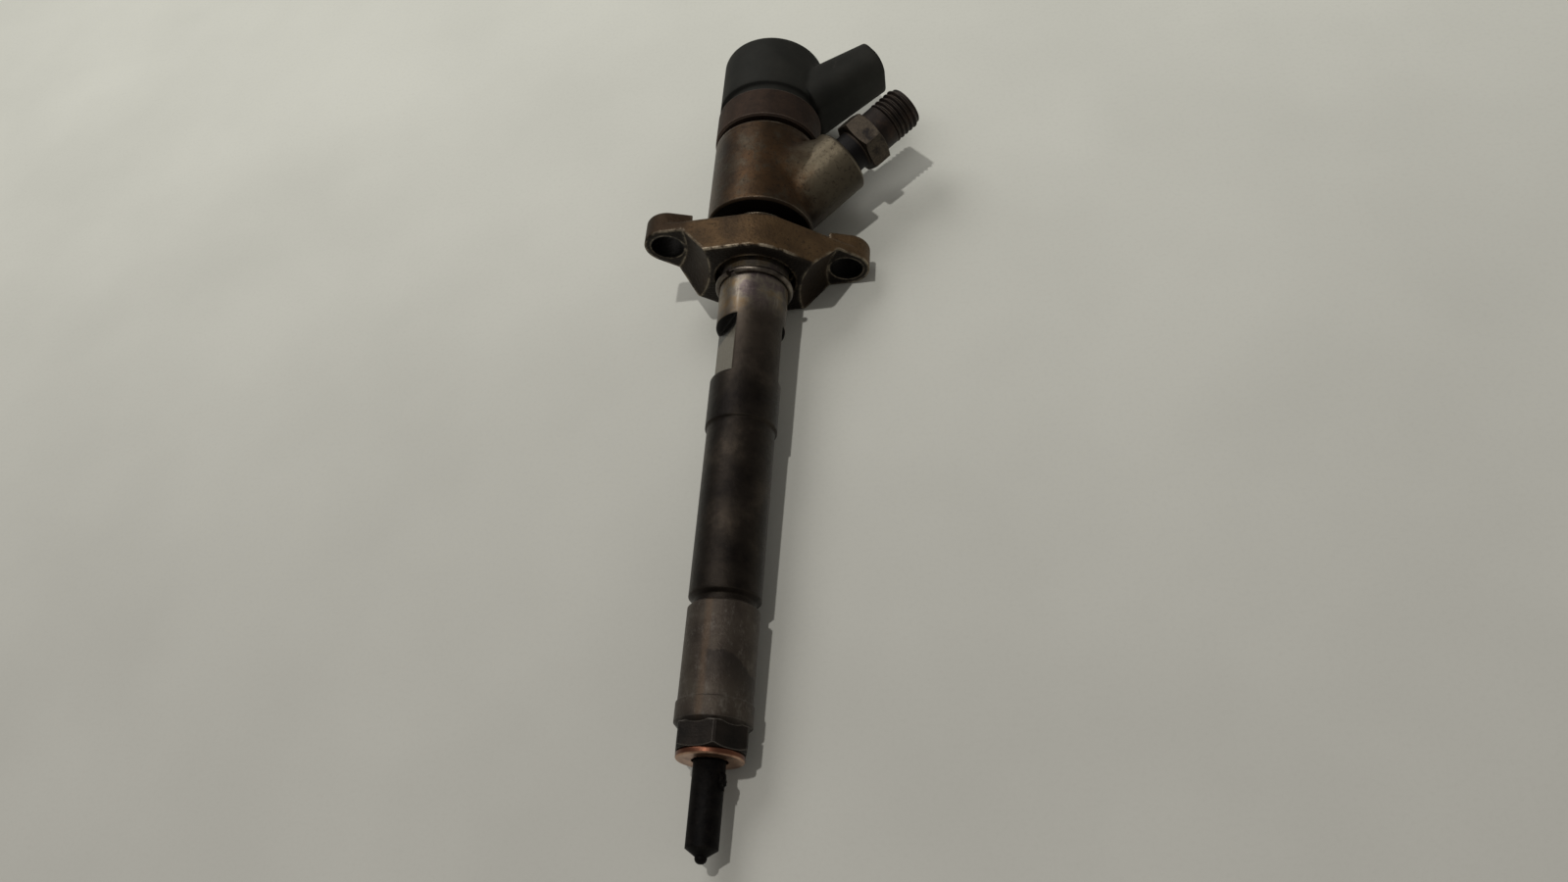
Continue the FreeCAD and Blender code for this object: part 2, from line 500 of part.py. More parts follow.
def armature():
    guide = turned_body("armature_guide", [
        ("guide_bore", "0"), ("guide_sleeve_radius", "0"),
        ("guide_sleeve_radius", "guide_flange_start - guide_sleeve_start"),
        ("guide_flange_radius", "guide_flange_start - guide_sleeve_start"),
        ("guide_flange_radius", "guide_top - guide_sleeve_start"),
        ("guide_bore", "guide_top - guide_sleeve_start")])
    for index in range(3):
        turn = FreeCAD.Rotation(AXIS, 120 * index)
        base = turn.multVec(FreeCAD.Vector(value("guide_port_offset"), 0, 0))
        primitive(guide, "SubtractiveCylinder", "guide_port_%d" % (index + 1),
                  FreeCAD.Placement(base, turn), Radius="guide_port_radius",
                  Height="guide_top - guide_sleeve_start")
    finish(guide, "armature_guide", "guide_sleeve_start")
    rise = "armature_start - guide_top"
    cone = turned_body("armature_spring", [
        ("armature_spring_outer", "0"), ("armature_spring_outer", "armature_spring_sheet"),
        ("armature_spring_inner", rise), ("armature_spring_inner", rise + " - armature_spring_sheet")])
    finish(cone, "armature_spring", "guide_top")
    plate = turned_body("armature_plate", [
        ("armature_hole", "0"), ("armature_radius", "0"),
        ("armature_radius", "armature_top - armature_start"),
        ("armature_hole", "armature_top - armature_start")])
    for index in range(int(value("armature_slot_count"))):
        turn = FreeCAD.Rotation(AXIS, 360 * index / value("armature_slot_count"))
        corner = turn.multVec(FreeCAD.Vector(value("armature_radius - armature_slot_depth"),
                                             -value("armature_slot_width / 2"), 0))
        primitive(plate, "SubtractiveBox", "armature_slot_%d" % (index + 1),
                  FreeCAD.Placement(corner, turn),
                  Length="armature_slot_depth + overshoot", Width="armature_slot_width",
                  Height="armature_top - armature_start")
    finish(plate, "armature_plate", "armature_start")
    low = "armature_top - holder_top"
    pin = turned_body("armature_pin", [
        ("0", "0"), ("armature_pin_radius", "0"), ("armature_pin_radius", low), ("lock_groove_radius", low),
        ("lock_groove_radius", low + " + lock_height"), ("armature_pin_radius", low + " + lock_height"),
        ("armature_pin_radius", "armature_pin_top - holder_top"), ("0", "armature_pin_top - holder_top")])
    finish(pin, "armature_pin", "holder_top")
    washer = turned_body("armature_lock_washer", [
        ("lock_hole", "0"), ("lock_radius", "0"),
        ("lock_radius", "lock_height"), ("lock_hole", "lock_height")])
    primitive(washer, "SubtractiveBox", "lock_washer_mouth", FreeCAD.Placement(
        FreeCAD.Vector(0, -value("lock_mouth / 2"), 0), FreeCAD.Rotation()),
              Length="lock_radius + overshoot", Width="lock_mouth", Height="lock_height")
    finish(washer, "armature_lock_washer", "armature_top")


def solenoid():
    ring("air_gap_shim", "gap_shim_hole", "gap_shim_radius", "coil_room_start", "gap_shim_top")
    slot = "core_slot_top - core_start"
    core = turned_body("magnet_core", [
        ("core_hole", "0"), ("core_slot_inner", "0"), ("core_slot_inner", slot), ("core_slot_outer", slot),
        ("core_slot_outer", "0"), ("core_radius", "0"), ("core_radius", "core_top - core_start"),
        ("core_hole", "core_top - core_start")])
    finish(core, "magnet_core", "core_start")
    height = "bobbin_top - bobbin_start"
    bobbin = turned_body("coil_bobbin", [
        ("bobbin_inner", "0"), ("bobbin_outer", "0"), ("bobbin_outer", "bobbin_flange"),
        ("bobbin_wall", "bobbin_flange"), ("bobbin_wall", height + " - bobbin_flange"),
        ("bobbin_outer", height + " - bobbin_flange"), ("bobbin_outer", height), ("bobbin_inner", height)])
    finish(bobbin, "coil_bobbin", "bobbin_start")
    ring("coil_winding", "bobbin_wall + winding_gap", "winding_radius",
         "bobbin_start + bobbin_flange + winding_gap", "bobbin_top - bobbin_flange - winding_gap")
    spring("solenoid_spring", "solenoid_spring_radius", "solenoid_spring_wire", "solenoid_spring_pitch",
           "armature_pin_top", "preload_shim_start")
    ring("spring_preload_shim", "preload_hole", "preload_radius",
         "preload_shim_start", "preload_plug_start")
    ring("spring_preload_plug", "preload_hole", "preload_radius", "preload_plug_start", "core_top")

    def up(name):
        return name + " - gap_shim_top"
    sleeve = turned_body("solenoid_sleeve", [
        ("sleeve_hole", "0"), ("sleeve_radius", "0"), ("sleeve_radius", up("sleeve_flange_start")),
        ("sleeve_flange_radius", up("sleeve_flange_start")),
        ("sleeve_flange_radius", up("sleeve_flange_end")),
        ("sleeve_neck_radius", up("sleeve_flange_end")), ("sleeve_neck_radius", up("sleeve_top")),
        ("sleeve_passage", up("sleeve_top")), ("sleeve_passage", up("core_top")),
        ("sleeve_hole", up("core_top"))])
    groove(sleeve, "o_ring_groove_cut", [
        ("o_ring_groove", up("o_ring_height - o_ring_groove_width / 2")),
        ("sleeve_radius + overshoot", up("o_ring_height - o_ring_groove_width / 2")),
        ("sleeve_radius + overshoot", up("o_ring_height + o_ring_groove_width / 2")),
        ("o_ring_groove", up("o_ring_height + o_ring_groove_width / 2"))])
    finish(sleeve, "solenoid_sleeve", "gap_shim_top")
    seal = doc.addObject("Part::Torus", "solenoid_o_ring")
    bind(seal, Radius1="o_ring_major", Radius2="o_ring_minor")
    finish(seal, "solenoid_o_ring", "o_ring_height")
    top = "lock_nut_end - lock_nut_start"
    nut = turned_body("solenoid_nut", [
        ("lock_nut_thread", "0"), ("lock_nut_radius - lock_nut_chamfer", "0"),
        ("lock_nut_radius", "lock_nut_chamfer"), ("lock_nut_radius", top + " - lock_nut_chamfer"),
        ("lock_nut_radius - lock_nut_chamfer", top), ("lock_nut_hole", top),
        ("lock_nut_hole", "lock_nut_floor - lock_nut_start"),
        ("lock_nut_thread", "lock_nut_floor - lock_nut_start")])
    finish(nut, "solenoid_nut", "lock_nut_start")


def rounded_section(width, depth, corner, height):
    """A rectangle with rounded corners, square to the Z axis at one height."""
    block = Part.makeBox(width, depth, 1, FreeCAD.Vector(-width / 2, -depth / 2, height))
    uprights = [edge for edge in block.Edges if abs(edge.tangentAt(edge.FirstParameter).z) > 0.9]
    rounded = block.makeFillet(corner, uprights)
    floor = min(rounded.Faces, key=lambda face: face.CenterOfMass.z)
    return floor.OuterWire


def solenoid_cap():
    def up(name):
        return name + " - cap_spigot_start"
    body = turned_body("cap_turning", [
        ("cap_bore", "0"), ("cap_spigot_radius", "0"), ("cap_spigot_radius", up("cap_start")),
        ("cap_radius", up("cap_start")), ("cap_radius", up("cap_top")), ("return_bore", up("cap_top")),
        ("return_bore", up("return_start")), ("sleeve_passage", up("return_start")),
        ("sleeve_passage", up("cap_bore_top")), ("cap_bore", up("cap_bore_top"))])
    round_edges(body, "cap_edge", "cap_rounding",
                lambda shape: circles(shape, value("cap_radius"), value(up("cap_top"))))
    shell = body.Shape.copy()
    corner = value("plug_corner")
    root = rounded_section(value("plug_root_depth"), value("plug_root_width"), corner, value("plug_root"))
    end = rounded_section(value("plug_end_depth"), value("plug_end_width"), corner, value("plug_end"))
    arm = Part.makeLoft([root, end], True, True)
    wall = 2 * value("socket_wall")
    mouth = rounded_section(value("plug_end_depth") - wall, value("plug_end_width") - wall,
                            corner - value("socket_wall"), value("plug_end - socket_depth"))
    socket = Part.Face(mouth).extrude(FreeCAD.Vector(0, 0, value("socket_depth + overshoot")))
    place = at(up("plug_crossing"), 0, slant("plug_tilt", "plug_azimuth"))
    arm.Placement = place
    socket.Placement = place
    pockets = [pin_box("pin_slack", side) for side in (-1, 1)]
    for pocket in pockets:
        pocket.Placement = place.multiply(pocket.Placement)
    bore = Part.makeCylinder(value("cap_bore"), value(up("cap_bore_top")))
    cap = shell.fuse(arm).cut(socket.fuse(pockets + [bore])).removeSplitter()
    item = doc.addObject("Part::Feature", "solenoid_cap")
    item.Shape = cap
    finish(item, "solenoid_cap", "cap_spigot_start")


def pin_box(slack, side):
    """One flat terminal blade in the plug's own frame, made larger all round by slack."""
    extra = value(slack)
    thickness = value("pin_thickness") + 2 * extra
    width = value("pin_width") + 2 * extra
    length = value("pin_end - pin_start") + 2 * extra
    middle = side * value("pin_spacing / 2")
    corner = FreeCAD.Vector(-thickness / 2, middle - width / 2, value("pin_start") - extra)
    return Part.makeBox(thickness, width, length, corner)


def terminal_pins():
    item = doc.addObject("Part::Feature", "terminal_pins")
    item.Shape = Part.makeCompound([pin_box("0", side) for side in (-1, 1)])
    finish(item, "terminal_pins", "plug_crossing", slant("plug_tilt", "plug_azimuth"))


def inlet():
    turn = slant("inlet_tilt", "inlet_azimuth")

    def place(item, label, distance):
        finish(item, label, "inlet_crossing", turn)
        outward = (SHAFT * turn).multVec(FreeCAD.Vector(0, 0, value(distance)))
        item.Placement.Base = item.Placement.Base + outward
    seal = turned_body("inlet_seal", [
        ("inlet_seal_hole", "0"), ("inlet_seal_radius", "0"), ("inlet_seal_radius", "inlet_seal_height"),
        ("inlet_seal_hole", "inlet_seal_height")])
    place(seal, "inlet_seal", "boss_bore_start")
    start = "(boss_bore_start + inlet_seal_height)"

    def up(name):
        return name + " - " + start
    threads = []
    for index in range(int(value("thread_turns"))):
        foot = "inlet_thread_start + thread_pitch * %d" % index
        threads += [("inlet_thread_radius - thread_depth", up(foot)),
                    ("inlet_thread_radius", up(foot + " + thread_pitch / 2 - thread_crest / 2")),
                    ("inlet_thread_radius", up(foot + " + thread_pitch / 2 + thread_crest / 2"))]
    last = "inlet_thread_start + thread_pitch * thread_turns"
    body = turned_body("inlet_connector", [
        ("inlet_orifice", "0"), ("inlet_stem_radius", "0"), ("inlet_stem_radius", up("boss_end")),
        ("inlet_neck_radius", up("boss_end")), ("inlet_neck_radius", up("inlet_hexagon_start")),
        ("inlet_pipe_radius", up("inlet_hexagon_start")), ("inlet_pipe_radius", up("inlet_thread_start"))]
        + threads + [
        ("inlet_thread_radius - thread_depth", up(last)), ("inlet_end_radius", up(last + " + small_step")),
        ("inlet_end_radius", up("inlet_end")), ("inlet_cone_radius", up("inlet_end")),
        ("inlet_bore", up("inlet_end - inlet_cone_depth")), ("inlet_bore", up("filter_start")),
        ("inlet_orifice", up("filter_start"))])
    primitive(body, "AdditivePrism", "inlet_hexagon",
              at(up("inlet_hexagon_start"), 0, FreeCAD.Rotation(AXIS, value("inlet_hexagon_angle"))),
              Circumradius="inlet_flats / sqrt(3)", Height="inlet_hexagon_end - inlet_hexagon_start")
    groove(body, "inlet_hexagon_bore", [
        ("0", "0"), ("inlet_orifice", "0"), ("inlet_orifice", up("filter_start")),
        ("inlet_bore", up("filter_start")), ("inlet_bore", up("inlet_end - inlet_cone_depth")),
        ("0", up("inlet_end - inlet_cone_depth"))])
    for name, end, sign in (("outer", "inlet_hexagon_end", "-"), ("inner", "inlet_hexagon_start", "+")):
        depth = up(end) + " %s inlet_hexagon_chamfer" % sign
        groove(body, "inlet_hexagon_%s_chamfer" % name, [
            ("inlet_flats / 2", up(end)), ("inlet_flats", up(end)), ("inlet_flats", depth),
            ("inlet_flats / sqrt(3)", depth)])
    place(body, "inlet_connector", start)
    rod = turned_body("edge_filter", [
        ("0", "0"), ("filter_radius", "0"), ("filter_radius", "filter_end - filter_start"),
        ("0", "filter_end - filter_start")])
    for index in range(4):
        turn_about = FreeCAD.Rotation(AXIS, 90 * index)
        corner = FreeCAD.Vector(value("filter_flat"), -value("filter_radius"), value("filter_land"))
        primitive(rod, "SubtractiveBox", "filter_flat_%d" % (index + 1),
                  FreeCAD.Placement(turn_about.multVec(corner), turn_about),
                  Length="filter_radius", Width="filter_radius * 2",
                  Height="filter_end - filter_start - filter_land * 2")
    place(rod, "edge_filter", "filter_start")


def clamp_outline(sketch):
    """The flange seen along the axis: a round middle and two round ears joined by tangents."""
    rim, ear, reach = value("clamp_rim_radius"), value("clamp_ear_radius"), value("clamp_spacing / 2")
    lean = math.acos((rim - ear) / reach)
    arcs = [(reach, "clamp_ear_radius", -lean, lean), (0, "clamp_rim_radius", lean, math.pi - lean),
            (-reach, "clamp_ear_radius", math.pi - lean, math.pi + lean),
            (0, "clamp_rim_radius", math.pi + lean, 2 * math.pi - lean)]
    curves = [Part.ArcOfCircle(Part.Circle(FreeCAD.Vector(middle, 0, 0), AXIS, value(radius)), first, last)
              for middle, radius, first, last in arcs]
    for index, curve in enumerate(curves):
        sketch.addGeometry(curve, False)
        sketch.addGeometry(Part.LineSegment(curve.EndPoint, curves[(index + 1) % 4].StartPoint), False)
    for index, (middle, radius, first, last) in enumerate(arcs):
        sketch.addConstraint(Sketcher.Constraint("Tangent", 2 * index, 2, 2 * index + 1, 1))
        sketch.addConstraint(Sketcher.Constraint("Tangent", 2 * index + 1, 2, (2 * index + 2) % 8, 1))
        bound = sketch.addConstraint(Sketcher.Constraint("Radius", 2 * index, value(radius)))
        sketch.setExpression("Constraints[%d]" % bound, cells(radius))
        side = (middle > 0) - (middle < 0)
        pin_down(sketch, 2 * index, 3, "clamp_spacing / 2 * (%d)" % side, "0")


def clamp_flange():
    def up(name):
        return name + " - clamp_start"
    body = doc.addObject("PartDesign::Body", "clamp_flange")
    sketch = new_sketch(body, "clamp_outline", "XY_Plane")
    clamp_outline(sketch)
    pad = body.newObject("PartDesign::Pad", "clamp_web")
    pad.Profile = sketch
    bind(pad, Length=up("clamp_web_end"))
    doc.recompute()
    round_edges(body, "clamp_web_edges", "clamp_rounding", lambda shape: [
        name for name, edge in named_edges(shape) if edge.BoundBox.ZLength < NEAR])
    rise = value("clamp_wall_corner - clamp_wall_waist")
    wall = (rise ** 2 + value("clamp_wall_reach") ** 2) / (2 * rise)
    for side in (-1, 1):
        cut = primitive(body, "SubtractiveCone", "clamp_wall_%d" % (side + 2),
                        at("0", side * (value("clamp_wall_waist") + wall)), Height=up("clamp_ear_start"))
        cut.Radius1 = wall
        cut.Radius2 = wall - value("clamp_wall_flare")
        ear = at(up("clamp_ear_start"), side * value("clamp_spacing / 2"))
        primitive(body, "AdditiveCylinder", "clamp_ear_%d" % (side + 2), ear,
                  Radius="clamp_ear_radius", Height="clamp_ear_end - clamp_ear_start")
        turn = FreeCAD.Rotation(AXIS, 90 - 90 * side)
        corner = FreeCAD.Vector(value("clamp_pad_start"), -value("clamp_ear_radius"), ear.Base.z)
        primitive(body, "AdditiveBox", "clamp_pad_%d" % (side + 2),
                  FreeCAD.Placement(turn.multVec(corner), turn),
                  Length="clamp_spacing / 2 - clamp_pad_start", Width="clamp_ear_radius * 2",
                  Height="clamp_ear_end - clamp_ear_start")
        primitive(body, "SubtractiveCylinder", "clamp_hole_%d" % (side + 2),
                  at("0", side * value("clamp_spacing / 2")), Radius="clamp_hole", Height=up("clamp_ear_end"))
    round_edges(body, "clamp_ear_edges", "clamp_rounding", lambda shape: [
        name for name, edge in named_edges(shape)
        if edge.BoundBox.ZMin > value(up("clamp_ear_end")) - NEAR
        and not is_circle(edge, value("clamp_hole"))])
    groove(body, "clamp_bore_cut", [
        ("0", "0"), ("clamp_recess", "0"), ("clamp_recess", up("clamp_recess_end")),
        ("clamp_bore", up("clamp_recess_end")), ("clamp_bore", up("clamp_web_end")),
        ("0", up("clamp_web_end"))])
    finish(body, "clamp_flange", "clamp_start", FreeCAD.Rotation(AXIS, value("clamp_roll")))


SUB_ASSEMBLIES = [copper_washer, nozzle_body, dowel_pins, nozzle_nut, needle_and_piston, injector_body,
                  snap_ring, valve, armature, solenoid, solenoid_cap, terminal_pins, inlet, clamp_flange]
for make in SUB_ASSEMBLIES:
    make()
    doc.recompute()

faults = [item.Label for item in doc.Objects if "Invalid" in item.State or "Error" in item.State]
faults += [item.Label for item in nodes if item.Shape.isNull() or not item.Shape.isValid()]
if faults:
    raise ValueError("failed: " + ", ".join(faults))

os.makedirs("parts", exist_ok=True)
for item in nodes:
    item.Shape.exportStep("parts/%s.step" % item.Label)
    print("%-22s %10.2f mm3" % (item.Label, item.Shape.Volume))
print(len(nodes), "sub-parts")
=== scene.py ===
import math
import bpy
import bmesh
from mathutils import Matrix, Vector, noise


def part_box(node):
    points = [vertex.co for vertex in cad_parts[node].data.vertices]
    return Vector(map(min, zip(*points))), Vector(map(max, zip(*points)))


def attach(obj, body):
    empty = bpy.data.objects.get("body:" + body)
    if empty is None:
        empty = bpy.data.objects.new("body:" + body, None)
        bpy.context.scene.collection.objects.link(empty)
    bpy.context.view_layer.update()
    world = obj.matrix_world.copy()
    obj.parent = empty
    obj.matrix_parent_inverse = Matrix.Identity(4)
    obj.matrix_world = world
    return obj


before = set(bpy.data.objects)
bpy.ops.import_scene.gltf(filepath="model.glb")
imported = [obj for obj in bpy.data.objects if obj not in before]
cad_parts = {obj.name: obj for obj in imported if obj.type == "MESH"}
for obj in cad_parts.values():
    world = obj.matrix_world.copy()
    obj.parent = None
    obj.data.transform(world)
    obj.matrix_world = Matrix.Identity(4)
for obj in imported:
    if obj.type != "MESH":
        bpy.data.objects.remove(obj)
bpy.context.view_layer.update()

# The injector lies on a pale surface, nozzle towards -Y, inlet and plug towards +X.
scene = bpy.context.scene
scene.view_settings.view_transform = "Standard"

MM = 0.001
MM_PER_M = 1000
TOWARDS_NOZZLE = (0, -1, 0)
UPWARDS = (0, 0, 1)

# ---- camera ---------------------------------------------------------------------------------
CAMERA_PLACE = Vector((0.0807, -0.0585, 0.2317))
CAMERA_AIM = Vector((0.0111, 0.0766, 0.0))
CAMERA_UP = Vector((0.070, 0.871, 0.487))
CAMERA_LENS = 26.47
CAMERA_SENSOR = 36
CAMERA_NEAREST = 5 * MM


def add_camera():
    data = bpy.data.cameras.new("camera")
    data.lens = CAMERA_LENS
    data.sensor_width = CAMERA_SENSOR
    data.clip_start = CAMERA_NEAREST
    camera = bpy.data.objects.new("camera", data)
    scene.collection.objects.link(camera)
    back = (CAMERA_PLACE - CAMERA_AIM).normalized()
    right = CAMERA_UP.cross(back).normalized()
    up = back.cross(right)
    turn = Matrix((right, up, back)).transposed().to_4x4()
    camera.matrix_world = Matrix.Translation(CAMERA_PLACE) @ turn
    scene.camera = camera


# ---- node helpers ---------------------------------------------------------------------------
BEVEL_SAMPLES_EDGE = 6
BEVEL_SAMPLES_ROUND = 8
# Cosine between true and rounded normal: where an edge's mask starts, and where it is full.
EDGE_MASK = (0.995, 0.86)
# How much smoother a fully rubbed place is.
RUB_POLISH = 0.25


class Shader:
    """One procedural material, built from small named steps in object space."""

    def __init__(self, name):
        self.material = bpy.data.materials.new(name)
        self.material.use_nodes = True
        self.tree = self.material.node_tree
        self.surface = self.tree.nodes["Principled BSDF"]
        self.place = self.new("TexCoord").outputs["Object"]

    def new(self, kind):
        return self.tree.nodes.new("ShaderNode" + kind)

    def feed(self, socket, value):
        """Gives a socket a number, a direction, a colour or another node's output."""
        if isinstance(value, bpy.types.NodeSocket):
            self.tree.links.new(value, socket)
        elif socket.type == "RGBA":
            socket.default_value = (*value, 1.0)
        else:
            socket.default_value = value

    # textures

    def noise(self, scale, detail, rough, stretch=(1, 1, 1)):
        mapping = self.new("Mapping")
        self.feed(mapping.inputs["Scale"], stretch)
        self.feed(mapping.inputs["Vector"], self.place)
        texture = self.new("TexNoise")
        self.feed(texture.inputs["Scale"], scale)
        self.feed(texture.inputs["Detail"], detail)
        self.feed(texture.inputs["Roughness"], rough)
        self.feed(texture.inputs["Vector"], mapping.outputs["Vector"])
        return texture.outputs["Fac"]

    def cells(self, scale):
        texture = self.new("TexVoronoi")
        self.feed(texture.inputs["Scale"], scale)
        self.feed(texture.inputs["Vector"], self.place)
        return texture.outputs["Distance"]

    # numbers

    def math(self, kind, first, second=0.0):
        node = self.new("Math")
        node.operation = kind
        self.feed(node.inputs[0], first)
        self.feed(node.inputs[1], second)
        return node.outputs[0]

    def product(self, first, *others):
        for other in others:
            first = self.math("MULTIPLY", first, other)
        return first

    def line(self, value, start, slope):
        """Start, plus slope times a value."""
        return self.math("ADD", start, self.product(value, slope))

    def without(self, value, mask):
        """A value, brought down to 0 where a mask is 1."""
        return self.product(value, self.math("SUBTRACT", 1.0, mask))

    def shaken(self, value, texture, reach):
        """A distance moved to and fro by a texture, by up to half of reach."""
        return self.math("ADD", value, self.product(self.math("SUBTRACT", texture, 0.5), reach))

    def step(self, value, start, end):
        """0 before start and 1 past end, smooth between; end may be the lower one."""
        node = self.new("MapRange")
        node.interpolation_type = "SMOOTHSTEP"
        rising = start < end
        self.feed(node.inputs["From Min"], min(start, end))
        self.feed(node.inputs["From Max"], max(start, end))
        self.feed(node.inputs["To Min"], 0.0 if rising else 1.0)
        self.feed(node.inputs["To Max"], 1.0 if rising else 0.0)
        self.feed(node.inputs["Value"], value)
        return node.outputs["Result"]

    def band(self, value, rise, fall):
        """1 between two limits, each given as the start and end of its step."""
        return self.product(self.step(value, *rise), self.step(value, *fall))

    # places and directions

    def position(self, axis):
        """Coordinate along one axis of the object, in metres."""
        split = self.new("SeparateXYZ")
        self.feed(split.inputs["Vector"], self.place)
        return split.outputs[axis]

    def along(self):
        """Distance along the injector axis from the washer's lower face, in millimetres."""
        return self.product(self.position("Y"), MM_PER_M)

    def across(self):
        """Distance to the inlet side of the injector axis, in millimetres."""
        return self.product(self.position("X"), MM_PER_M)

    def beside(self, across, up):
        """Distance, in millimetres, from a line parallel to the injector axis."""
        across = self.math("POWER", self.math("SUBTRACT", self.position("X"), across * MM), 2)
        up = self.math("POWER", self.math("SUBTRACT", self.position("Z"), up * MM), 2)
        return self.product(self.math("SQRT", self.math("ADD", across, up)), MM_PER_M)

    def along_branch(self):
        """Distance along the inlet branch from the injector axis, in millimetres."""
        offset = self.new("VectorMath")
        offset.operation = "SUBTRACT"
        self.feed(offset.inputs[0], self.place)
        self.feed(offset.inputs[1], BRANCH_START)
        return self.product(self.dot(offset.outputs["Vector"], BRANCH_WAY), MM_PER_M)

    def dot(self, first, second):
        node = self.new("VectorMath")
        node.operation = "DOT_PRODUCT"
        self.feed(node.inputs[0], first)
        self.feed(node.inputs[1], second)
        return node.outputs["Value"]

    def facing(self, direction):
        """How squarely the surface faces a direction: 1 towards it, -1 away from it."""
        return self.dot(self.new("TexCoord").outputs["Normal"], direction)

    def rounded(self, radius, samples=BEVEL_SAMPLES_ROUND):
        """Normal that runs round sharp edges and inner corners within a radius."""
        bevel = self.new("Bevel")
        bevel.samples = samples
        self.feed(bevel.inputs["Radius"], radius)
        return bevel.outputs["Normal"]

    def edges(self, radius):
        """A rounded normal, and a mask that is 1 on sharp edges."""
        normal = self.rounded(radius, BEVEL_SAMPLES_EDGE)
        turned = self.dot(normal, self.new("NewGeometry").outputs["Normal"])
        return normal, self.step(turned, *EDGE_MASK)

    def blend(self, factor, first, second):
        """Mixes two directions."""
        node = self.new("Mix")
        node.data_type = "VECTOR"
        self.feed(node.inputs[0], factor)
        self.feed(node.inputs[4], first)
        self.feed(node.inputs[5], second)
        return node.outputs[1]

    # colours

    def mix(self, factor, first, second):
        """Mixes two colours."""
        node = self.new("Mix")
        node.data_type = "RGBA"
        self.feed(node.inputs[0], factor)
        self.feed(node.inputs[6], first)
        self.feed(node.inputs[7], second)
        return node.outputs[2]

    def ramp(self, value, *stops):
        node = self.new("ValToRGB")
        elements = node.color_ramp.elements
        while len(elements) < len(stops):
            elements.new(0.5)
        for element, (position, colour) in zip(elements, stops):
            element.position = position
            element.color = (*colour, 1.0)
        self.feed(node.inputs["Fac"], value)
        return node.outputs["Color"]

    def rub_and_glint(self, colour, roughness, edge, strength, tone):
        """Colour and roughness with sharp edges made bright and smooth: partly rubbed wear, partly
        a painted glint.
        """
        worn = self.product(edge, strength)
        smoother = self.math("SUBTRACT", roughness, self.product(worn, RUB_POLISH))
        return self.mix(worn, colour, tone), smoother

    # the finished surface

    def bump(self, height, strength, depth, normal=None):
        """Normal with a relief; depth in millimetres."""
        node = self.new("Bump")
        self.feed(node.inputs["Strength"], strength)
        self.feed(node.inputs["Distance"], depth * MM)
        self.feed(node.inputs["Height"], height)
        if normal is not None:
            self.feed(node.inputs["Normal"], normal)
        return node.outputs["Normal"]

    def done(self, colour, roughness, metallic, normal, specular=0.5):
        self.feed(self.surface.inputs["Base Color"], colour)
        self.feed(self.surface.inputs["Roughness"], roughness)
        self.feed(self.surface.inputs["Metallic"], metallic)
        self.feed(self.surface.inputs["Normal"], normal)
        self.feed(self.surface.inputs["Specular IOR Level"], specular)
        return self.material


# ---- places on the object -------------------------------------------------------------------
# A pair of millimetres is the start and the end of a soft change.
# Shank, along the injector axis: near black, then brown-grey, then bright up to the head.
SHANK_MIDDLE = (88, 101)
SHANK_BRIGHT = (108, 121)
SHANK_TO_HEAD = (136.5, 141.5)
HEAD = (139, 142)
# The two milled flats: the way the upper one faces, its ends, where a painted dark reflection of
# the end face starts on the flat, and the end face that gets painted shade.
FLAT_AZIMUTH = math.radians(-51)
FLAT_FACING = (math.sin(FLAT_AZIMUTH), 0.0, math.cos(FLAT_AZIMUTH))
FLAT_SQUARE = (0.990, 0.998)
FLAT_BOTTOM, FLAT_TOP = (92.5, 93.1), (110, 109.7)
FLAT_PAINTED_REFLECTION = (105.9, 106.4)
FLAT_STEP_SHADE = (108.9, 109.6)
# The inlet branch: where it leaves the injector axis, the way it points and its root radius.
BRANCH_START = (0.0, 142.67 * MM, 0.0)
BRANCH_WAY = (0.7402, 0.6704, 0.0518)
BRANCH_ROOT = 3.5 * MM
# Distance from the injector axis at which the branch's paler colour starts, and how far it strays.
BRANCH_COLOUR = (13.8, 20.5)
BRANCH_COLOUR_STRAY = 9
# The junction of branch and head, where it is smoothed: from the axis, and along it.
JUNCTION_REACH = (18.5, 16.0)
JUNCTION_BOTTOM, JUNCTION_TOP = (145, 149), (168.6, 167.0)
# The junction line that the pale edges, partly wear and partly painted glint, leave out: across,
# from the axis, and along it.
LINE_ACROSS, LINE_REACH, LINE_BOTTOM = (6.5, 8.5), (18.0, 16.5), (142.6, 143.4)
# The flange: the middle of its right ear's hole, the hole's rim, inside which the bore gets painted
# shade, its left ear, painted darker as shade, and its boss, whose upper front edge gets a painted
# glint.
CLAMP_HOLE = (24 * math.cos(math.radians(21)), -24 * math.sin(math.radians(21)))
HOLE_SHADE_RIM = (4.6, 4.3)
LEFT_EAR_SHADE = (-13, -17)
BOSS_GLINT_HALF_WIDTH = (14, 11)
# The nozzle nut: its brown streak across, its wavy dark stain along, and its hexagon.
STREAK_LEFT, STREAK_RIGHT = (-2.2, -0.9), (0.6, -0.5)
STAIN_BOTTOM, STAIN_TOP, STAIN_LEFT = (13.5, 21.6), (22.6, 21.8), (-0.9, 0.4)
NUT_HEXAGON = (8.6, 6.2)
# The inlet stub, along the branch: its hexagon, and the black neck before it.
STUB_HEXAGON_START, STUB_HEXAGON_END = (34.6, 35.6), (41.6, 40.8)
STUB_NECK = (35.1, 34.4)
# The nozzle's crusted root, along the injector axis.
NOZZLE_ROOT = (-9, -1)
NOZZLE_RADIUS = 3.5 * MM


